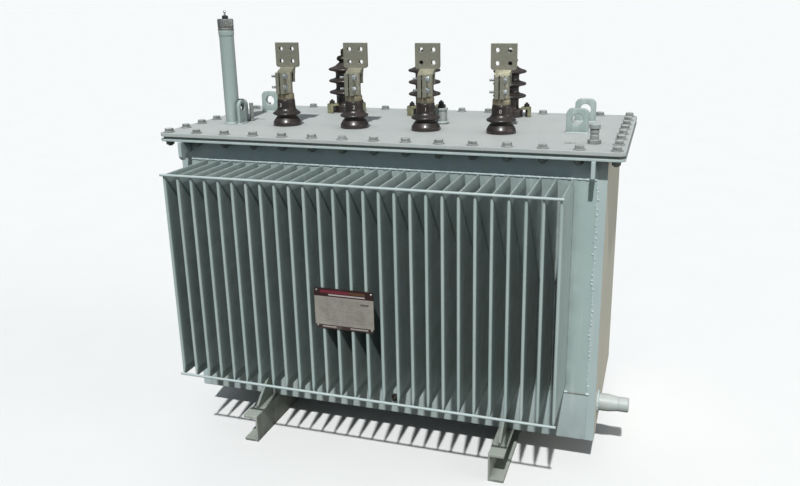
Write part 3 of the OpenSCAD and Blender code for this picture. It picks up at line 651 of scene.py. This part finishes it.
def makeDrainWeld():
    low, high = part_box("drain_spigot")
    r, out, along = (high.z - low.z) / 2 / mm, feet["drainOut"], feet["drainAlong"]
    profile = [(r - 2, -1), (r + out, -1), (r + out, along * 0.25), (r + out * 0.6, along * 0.7),
               (r - 0.5, along), (r - 2, along)]
    bm = turned(profile, 60, True)
    for v in bm.verts:  # laid in short pushes
        if v.co.xy.length > r * mm:
            v.co *= 1 + 0.03 * math.sin(math.atan2(v.co.y, v.co.x) * feet["drainPushes"])
    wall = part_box("right_end_wall")[1].x
    middle = Vector((wall, (low.y + high.y) / 2, (low.z + high.z) / 2))
    place = Matrix.Translation(middle) @ Matrix.Rotation(math.pi / 2, 4, "Y")
    bmesh.ops.transform(bm, matrix=place, verts=bm.verts[:])
    newPiece("drainWeld", bm, weldHighlightPaint, 60)


def makeCoverScar():
    bm = bmesh.new()
    z = coverTop - feet["scarSunk"] * mm
    start, end = [(x * mm, y * mm, z) for x, y in (feet["scarFrom"], feet["scarTo"])]
    addBead(bm, start, end, feet["scar"], beads["lumpy"])
    newPiece("coverScar", bm, seamPaint, 60)


makePanelWelds()
makeRodWelds()
makeFootWelds()
makeDrainWeld()
makeCoverScar()
print("welds done")


# low-voltage bushings: glazed bodies, seals, ribbed collar rings, marks and clamp bolts
lowVoltage = {
    "body": [(45.4, 0), (46, 1.5), (46, 8.5), (45.2, 12), (42.5, 17), (38.8, 22.5), (35, 27), (33, 29.6),
             (33.4, 31.8), (36.4, 33.8), (41.2, 35.4), (44.7, 37.2), (46, 40), (44.7, 42.8), (41.2, 45),
             (36, 48.8), (32.4, 52.8), (30.6, 57), (30, 62), (29.4, 76), (28.8, 82.5), (27.6, 85.2),
             (25.5, 86)],
    "seal": (30, 46.6, 2.4),  # hole, outer radius, thickness
    "upperSeal": (20, 28.5, 2.4),
    "upperSealAt": 85,
    "sealSunk": 0.5,
    "marks": "3210",
    "markSize": 17,
    "markThick": 0.3,
    "markHeight": 68,
    "markTurn": (-12, 21, 17, 6),
    "markFrom": 58,  # height where the body's taper starts
    "markRadius": 30.4,
    "markTaper": 0.055,
    "markBend": 30,
    "ringBase": 89,
    "ringHeight": 13,
    "ringRadius": 27.8,
    "ringRibs": 36,
    "ribDepth": 0.9,
    "nut": (16, 8, 1.0),  # flats, height, chamfer
    "washer": (4, 10, 1.6),
    "bolt": 4.2,
    "boltPitch": 1.3,
    "boltHeights": (128, 164),
    "boltForward": 32,
    "boltReach": (-31, 25),
    "earHalf": 14,
}


def lvAxis(i):
    low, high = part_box(f"lv_porcelain_{i}")
    return (low.x + high.x) / 2, (low.y + high.y) / 2


def digitShape(sign, size):
    curve = bpy.data.curves.new("digit", "FONT")
    curve.body = sign
    curve.size = size * mm
    curve.extrude = lowVoltage["markThick"] * mm
    curve.resolution_u = 4
    curve.align_x = "CENTER"
    curve.align_y = "CENTER"
    holder = bpy.data.objects.new("digit", curve)
    bpy.context.scene.collection.objects.link(holder)
    bpy.context.view_layer.update()
    shape = bpy.data.meshes.new_from_object(holder.evaluated_get(bpy.context.evaluated_depsgraph_get()))
    bpy.data.objects.remove(holder)
    return shape


def ribbedRing():
    r, tall, ribs = lowVoltage["ringRadius"], lowVoltage["ringHeight"], lowVoltage["ringRibs"]
    profile = [(r - 2, 0), (r - 0.8, 0), (r, 1), (r, tall - 1), (r - 0.8, tall), (r - 2, tall)]
    bm = turned(profile, ribs * 4, True)
    for v in bm.verts:  # grip ribs
        if v.co.xy.length > (r - 0.4) * mm:
            wave = 0.5 + 0.5 * math.cos(math.atan2(v.co.y, v.co.x) * ribs)
            v.co.xy *= 1 - wave * lowVoltage["ribDepth"] / r
    return asShape(bm)


def glazedBody(profile, x, y):
    body = turned(curved(profile, 3), 72)
    foot = [e for e in body.edges if e.is_boundary and e.verts[0].co.z < 0.01]
    bmesh.ops.contextual_create(body, geom=foot)
    bmesh.ops.contextual_create(body, geom=[e for e in body.edges if e.is_boundary])
    bmesh.ops.translate(body, vec=(x, y, coverTop), verts=body.verts[:])
    return body


def bentMark(i, x, y):
    shape = digitShape(lowVoltage["marks"][i - 1], lowVoltage["markSize"])
    digit = bmesh.new()
    digit.from_mesh(shape)
    bmesh.ops.triangulate(digit, faces=digit.faces[:])
    bmesh.ops.subdivide_edges(digit, edges=digit.edges[:], cuts=2, use_grid_fill=True)
    turn = math.radians(lowVoltage["markTurn"][i - 1])
    for v in digit.verts:  # bent round the body
        height = lowVoltage["markHeight"] * mm + v.co.y
        taper = (height / mm - lowVoltage["markFrom"]) * lowVoltage["markTaper"]
        radius = (lowVoltage["markRadius"] - taper) * mm + v.co.z
        angle = turn + v.co.x / (lowVoltage["markBend"] * mm)
        v.co = (x + radius * math.sin(angle), y - radius * math.cos(angle), coverTop + height)
    return asShape(digit)


def makeLowVoltage():
    seals, rings, marks, fixings = bmesh.new(), bmesh.new(), bmesh.new(), bmesh.new()
    seal = washerShape(*lowVoltage["seal"], 48)
    upper = washerShape(*lowVoltage["upperSeal"], 40)
    ring = ribbedRing()
    nut = hexShape(*lowVoltage["nut"])
    washer = washerShape(*lowVoltage["washer"], 20)
    onWasher = lowVoltage["washer"][2] * mm
    low, high = lowVoltage["boltReach"]
    thread = threadShape(lowVoltage["bolt"], low, high, lowVoltage["boltPitch"], 14)
    side = Matrix.Rotation(math.pi / 2, 4, "Y")
    half = lowVoltage["earHalf"] * mm
    for i in range(1, 5):
        x, y = lvAxis(i)
        body = glazedBody(lowVoltage["body"], x, y)
        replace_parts(newPiece(f"lvBody{i}", body, lvGlaze, 60), f"lv_porcelain_{i}")
        stamp(seals, seal, at(x, y, coverTop - lowVoltage["sealSunk"] * mm))
        stamp(seals, upper, at(x, y, coverTop + lowVoltage["upperSealAt"] * mm))
        stamp(rings, ring, at(x, y, coverTop + lowVoltage["ringBase"] * mm, chance.uniform(0, 1)))
        stamp(marks, bentMark(i, x, y), Matrix.Identity(4))
        for h in lowVoltage["boltHeights"]:
            centre = Vector((x, y - lowVoltage["boltForward"] * mm, coverTop + h * mm))
            spin = Matrix.Rotation(chance.uniform(0, 1), 4, "Z")
            stamp(fixings, thread, Matrix.Translation(centre) @ side)
            stamp(fixings, washer, Matrix.Translation(centre + Vector((half, 0, 0))) @ side @ spin)
            stamp(fixings, nut, Matrix.Translation(centre + Vector((half + onWasher, 0, 0))) @ side @ spin)
    newPiece("lvSeals", seals, sealRubber)
    newPiece("collarRings", rings, brassMetal, 50)
    newPiece("lvMarks", marks, markPaint)
    newPiece("clampBolts", fixings, boltSteel)


makeLowVoltage()
print("low-voltage bushings done")


# high-voltage bushings: glazed bodies with rounded sheds, claw studs and terminal nuts
highVoltage = {
    "foot": [(47, 0), (48, 2), (48, 22), (46.5, 25), (42, 26), (36, 27.5), (33.4, 32), (33, 40)],
    "rims": (73, 115, 157),
    "core": 33,
    "rim": 58,
    "top": [(33.5, 169), (26, 175.5), (20, 180), (18.5, 182)],
    "seal": (30, 48.6, 2.4),  # hole, outer radius, thickness
    "sealSunk": 0.5,
    "claws": 3,
    "clawTop": 35,
    "stud": 5,
    "studPitch": 1.5,
    "studOut": 62,
    "studTop": 50,
    "nut": (17, 8, 1.0),  # flats, height, chamfer
    "washer": (5, 11, 2),
    "capNut": (20, 9.5, 1.2),
    "capWasher": (6, 13, 2),
    "capHeights": (205, 216.5),
}


def hvAxis(i):
    low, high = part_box(f"hv_porcelain_{i}")
    return (low.x + high.x) / 2, (low.y + high.y) / 2


def hvProfile():
    core, rim = highVoltage["core"], highVoltage["rim"]
    profile = list(highVoltage["foot"])
    for z in highVoltage["rims"]:  # each shed droops to a round rim
        profile += [(core, z - 13), (core + 4, z - 9.5), (rim - 8, z - 6), (rim - 2.4, z - 4.4), (rim, z - 1),
                    (rim - 1.2, z + 2.2), (rim - 5, z + 4.4), (rim - 12, z + 6.4)]
        if z != highVoltage["rims"][-1]:
            profile += [(core + 5, z + 9), (core, z + 14)]
    return profile + highVoltage["top"]


def makeHighVoltage():
    studs, nuts, seals = bmesh.new(), bmesh.new(), bmesh.new()
    stud = threadShape(highVoltage["stud"], 0, highVoltage["studTop"], highVoltage["studPitch"], 14)
    nut = hexShape(*highVoltage["nut"])
    washer = washerShape(*highVoltage["washer"], 24)
    capNut = hexShape(*highVoltage["capNut"])
    capWasher = washerShape(*highVoltage["capWasher"], 28)
    foot = washerShape(*highVoltage["seal"], 48)
    clawTop = coverTop + highVoltage["clawTop"] * mm
    onWasher = highVoltage["washer"][2] * mm
    onCapWasher = highVoltage["capWasher"][2] * mm
    for i in range(1, 4):
        x, y = hvAxis(i)
        body = glazedBody(hvProfile(), x, y)
        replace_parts(newPiece(f"hvBody{i}", body, hvGlaze, 60), f"hv_porcelain_{i}")
        stamp(seals, foot, at(x, y, coverTop - highVoltage["sealSunk"] * mm))
        for k in range(highVoltage["claws"]):
            angle = k * math.tau / highVoltage["claws"]
            px = x + highVoltage["studOut"] * mm * math.cos(angle)
            py = y + highVoltage["studOut"] * mm * math.sin(angle)
            turn = chance.uniform(0, 1)
            stamp(studs, stud, at(px, py, coverTop))
            stamp(studs, washer, at(px, py, clawTop))
            stamp(studs, nut, at(px, py, clawTop + onWasher, turn))
        for z in highVoltage["capHeights"]:
            stamp(nuts, capWasher, at(x, y, coverTop + z * mm))
            stamp(nuts, capNut, at(x, y, coverTop + z * mm + onCapWasher, chance.uniform(0, 1)))
    newPiece("clawStuds", studs, darkBrass)
    newPiece("hvNuts", nuts, darkBrass)
    newPiece("hvSeals", seals, sealRubber)


makeHighVoltage()
print("high-voltage bushings done")


# rating plate, bare but for ruled bands
plate = {
    "corner": 5,
    "rim": 3,
    "sunk": 0.5,
    "rivetIn": 7,
    "rivetRise": 0.4,
    "rivet": [(0, 2.2), (1.8, 1.9), (3.2, 1.0), (3.8, 0), (3.8, -1.0), (0, -1.0)],
    "rows": 22.0,
    "columns": 4.0,
    "header": 0.80,  # shares of the plate's width and height from here on
    "footer": 0.09,
    "field": (0.06, 0.94, 0.16, 0.74),  # left, right, bottom, top
    "box": (0.78, 0.92, 0.64, 0.69),
    "stripe": (0.24, 0.86, 0.83, 0.865),
    "bar": (0.1, 0.86, 0.885, 0.955),
    "barTurnsBrown": 0.6,
    "dashes": ((0.12, 0.36, 0.03, 0.065), (0.6, 0.9, 0.03, 0.065)),
}


def plateMaterial():
    made, tree, shader = newMaterial("ruledPlate")
    low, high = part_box("rating_plate")
    size = high - low
    spot = addNode(tree, "ShaderNodeTexCoord").outputs["Object"]
    across = addNode(tree, "ShaderNodeMapping", {"Vector": spot, "Scale": (1 / size.x, 1, 1 / size.z),
                                                 "Location": (-low.x / size.x, 0, -low.z / size.z)})
    parts = addNode(tree, "ShaderNodeSeparateXYZ", {0: across.outputs[0]}).outputs
    x, z = parts["X"], parts["Z"]
    grime = noise(tree, spot, 30, 5)

    def between(value, start, end):
        return times(tree, sums(tree, "GREATER_THAN", value, start), sums(tree, "LESS_THAN", value, end))

    def patch(left, right, bottom, top):
        return times(tree, between(z, bottom, top), between(x, left, right))

    def rows(value, count, share):
        return sums(tree, "LESS_THAN", sums(tree, "FRACT", times(tree, value, count), 0.0), share)

    body = blendColours(tree, spread(tree, grime, 0.3, 0.7), tint(154, 151, 142), tint(130, 127, 119))
    field = patch(*plate["field"])
    worn = spread(tree, noise(tree, spot, 160, 3), 0.35, 0.6)
    ruled = times(tree, rows(z, plate["rows"], 0.3), worn, field)
    columns = times(tree, rows(sums(tree, "ADD", x, 0.03), plate["columns"], 0.02), field)
    lines = times(tree, sums(tree, "MAXIMUM", ruled, columns), 0.55)
    body = blendColours(tree, lines, body, tint(92, 90, 84))
    body = blendColours(tree, patch(*plate["box"]), body, tint(98, 94, 91))
    header = sums(tree, "GREATER_THAN", z, plate["header"])
    body = blendColours(tree, header, body, tint(50, 28, 30))
    body = blendColours(tree, patch(*plate["stripe"]), body, tint(176, 168, 164))
    bar = patch(*plate["bar"])
    body = blendColours(tree, bar, body, tint(112, 40, 54))
    brown = times(tree, bar, sums(tree, "GREATER_THAN", x, plate["barTurnsBrown"]))
    body = blendColours(tree, brown, body, tint(88, 62, 44))
    footer = sums(tree, "LESS_THAN", z, plate["footer"])
    body = blendColours(tree, footer, body, tint(58, 44, 44))
    for dash in plate["dashes"]:
        body = blendColours(tree, patch(*dash), body, tint(158, 152, 146))
    body = blendColours(tree, spread(tree, grime, 0.55, 0.8, 0.0, 0.5), body, tint(126, 120, 108))
    tree.links.new(body, shader.inputs["Base Color"])
    tree.links.new(spread(tree, grime, 0.3, 0.7, 0.38, 0.6), shader.inputs["Roughness"])
    shader.inputs["Metallic"].default_value = 0.15
    bump = addNode(tree, "ShaderNodeBump", {"Strength": 0.2, "Distance": 0.0008, "Height": lines})
    tree.links.new(bump.outputs[0], shader.inputs["Normal"])
    return made


def makePlate():
    low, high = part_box("rating_plate")
    size, middle = high - low, (low + high) / 2
    bm = bmesh.new()
    bmesh.ops.create_cube(bm, size=1.0, matrix=Matrix.Translation(middle) @ Matrix.Diagonal((*size, 1)))
    through = [e for e in bm.edges if abs(e.verts[0].co.y - e.verts[1].co.y) > size.y * 0.9]
    bmesh.ops.bevel(bm, geom=through, offset=plate["corner"] * mm, affect="EDGES", segments=5, profile=0.5,
                    material=-1)
    front = [f for f in bm.faces if f.normal.y < -0.9]
    bmesh.ops.inset_region(bm, faces=front, thickness=plate["rim"] * mm, depth=-plate["sunk"] * mm)
    piece = newPiece("bandedPlate", bm, plateMaterial())
    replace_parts(piece, "rating_plate")
    rivet = asShape(turned(plate["rivet"], 18))
    forward = Matrix.Rotation(math.pi / 2, 4, "X")
    bm = bmesh.new()
    for x in (low.x + plate["rivetIn"] * mm, high.x - plate["rivetIn"] * mm):
        for z in (low.z + plate["rivetIn"] * mm, high.z - plate["rivetIn"] * mm):
            stamp(bm, rivet, Matrix.Translation((x, low.y + plate["rivetRise"] * mm, z)) @ forward)
    newPiece("plateRivets", bm, capMetal)


makePlate()
print("plate done")


# filler cap: ribbed casting with a black knob and a pin
fillerCap = {
    "height": 37,
    "hollow": 2,
    "ribs": 26,
    "ribsFrom": 9.5,
    "ribDepth": 1.4,
    "knob": 10,
    "knobHeight": 13,
    "pin": [(0, 0), (3.2, 0), (3.2, 9), (4.6, 9.6), (4.6, 12), (3.6, 14), (1.6, 16.4), (0, 17)],
}


def makeFillerCap():
    low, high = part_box("filler_cap")
    x, y, z = (low.x + high.x) / 2, (low.y + high.y) / 2, low.z
    r, tall = (high.x - low.x) / 2 / mm, fillerCap["height"]
    seat = tall - fillerCap["hollow"]
    profile = [(0, 0), (r - 1, 0), (r, 1), (r, 6), (r - 1.5, 7), (r - 1.5, 9), (r, 10), (r, 16), (r, 22),
               (r, tall - 8), (r, tall - 3), (r - 1, tall - 1), (r - 4, tall), (r - 9, tall), (r - 10, seat),
               (0, seat)]
    bm = turned(profile, fillerCap["ribs"] * 4)
    for v in bm.verts:  # grip ribs round the upper band
        if fillerCap["ribsFrom"] * mm < v.co.z < seat * mm and v.co.xy.length > (r - 2) * mm:
            wave = 0.5 + 0.5 * math.cos(math.atan2(v.co.y, v.co.x) * fillerCap["ribs"])
            v.co.xy *= 1 - wave * fillerCap["ribDepth"] / r
    bmesh.ops.translate(bm, vec=(x, y, z), verts=bm.verts[:])
    cap = newPiece("fillerCap", bm, capMetal, 50)
    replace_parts(cap, "filler_cap")
    k, h = fillerCap["knob"], fillerCap["knobHeight"]
    bm = turned([(0, 0), (k - 1, 0), (k, 1.5), (k, h - 3), (k - 1, h - 1), (k - 3, h), (0, h)], 32)
    bmesh.ops.translate(bm, vec=(x, y, z + seat * mm), verts=bm.verts[:])
    newPiece("capKnob", bm, knobPlastic)
    bm = turned(fillerCap["pin"], 20)
    bmesh.ops.translate(bm, vec=(x, y, z + (seat + h) * mm), verts=bm.verts[:])
    newPiece("capPin", bm, boltSteel)


makeFillerCap()
print("filler cap done")


# earthing stud on the front skirt
earth = {"x": 18, "z": 146, "nut": (17, 8, 1.0), "washer": (5, 13, 2.4), "stud": 5, "studOut": 20,
         "pitch": 1.5}


def makeEarthStud():
    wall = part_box("front_skirt")[0].y
    forward = Matrix.Rotation(math.pi / 2, 4, "X")
    spot = Matrix.Translation((earth["x"] * mm, wall, earth["z"] * mm)) @ forward
    bm = bmesh.new()
    stamp(bm, washerShape(*earth["washer"], 28), spot)
    stamp(bm, hexShape(*earth["nut"]), spot @ Matrix.Translation((0, 0, earth["washer"][2] * mm)))
    stamp(bm, threadShape(earth["stud"], 0, earth["studOut"], earth["pitch"], 14), spot)
    newPiece("earthStud", bm, darkBrass)


makeEarthStud()
print("earth stud done")


# pale floor, a sun, and low soft lights from the right end and from behind
studio = {
    "floor": tint(222, 223, 222),
    "floorMottle": tint(218, 219, 218),
    "floorRadius": 400,
    "bounce": tint(118, 117, 112),
    "backdrop": tint(247, 250, 251),
    "sky": (0.84, 0.95, 1.06),
    "skyPower": 0.215,
    "keyLight": (3.95, 9, 52, 1.6, (1, 1, 1)),  # power, turn, height, softness, hue
    "endLight": (1.1, 90, 12, 50, (1, 0.96, 0.9)),
    "backLight": (1.0, 195, 7, 50, (0.95, 0.98, 1)),
}


def addSun(name, power, turn, height, softness, hue):
    data = bpy.data.lights.new(name, "SUN")
    data.energy, data.angle, data.color = power, math.radians(softness), hue
    light = bpy.data.objects.new(name, data)
    turn, rise = math.radians(turn), math.radians(height)
    towards = Vector((-math.sin(turn) * math.cos(rise), math.cos(turn) * math.cos(rise), -math.sin(rise)))
    light.rotation_euler = towards.to_track_quat("-Z", "Y").to_euler()
    bpy.context.scene.collection.objects.link(light)
    return light


def makeFloor():
    bm = bmesh.new()
    bmesh.ops.create_circle(bm, cap_ends=True, segments=96, radius=studio["floorRadius"])
    mesh = bpy.data.meshes.new("floor")
    bm.to_mesh(mesh)
    bm.free()
    floor = bpy.data.objects.new("floor", mesh)
    bpy.context.scene.collection.objects.link(floor)
    made, tree, shader = newMaterial("paleFloor")
    place = addNode(tree, "ShaderNodeTexCoord").outputs["Object"]
    body = blendColours(tree, noise(tree, place, 3, 4), studio["floor"], studio["floorMottle"])
    seen = addNode(tree, "ShaderNodeLightPath").outputs["Is Camera Ray"]
    body = blendColours(tree, seen, studio["bounce"], body)  # pale to look at, but throwing less light up
    tree.links.new(body, shader.inputs["Base Color"])
    shader.inputs["Roughness"].default_value = 0.9
    shader.inputs["Specular IOR Level"].default_value = 0.0
    mesh.materials.append(made)


def makeLights():
    addSun("keyLight", *studio["keyLight"])
    addSun("endLight", *studio["endLight"])
    back = addSun("backLight", *studio["backLight"])
    back.visible_glossy = False  # no glint on the cover


def makeSky():
    world = bpy.data.worlds.new("softSky")
    world.use_nodes = True
    tree = world.node_tree
    seen = addNode(tree, "ShaderNodeLightPath").outputs["Is Camera Ray"]
    sky = [part * studio["skyPower"] for part in studio["sky"]] + [1]
    seenSky = blendColours(tree, seen, sky, studio["backdrop"])
    tree.links.new(seenSky, tree.nodes["Background"].inputs["Color"])
    bpy.context.scene.world = world
    bpy.context.scene.view_settings.view_transform = "Standard"


makeFloor()
makeLights()
makeSky()
print("studio done")
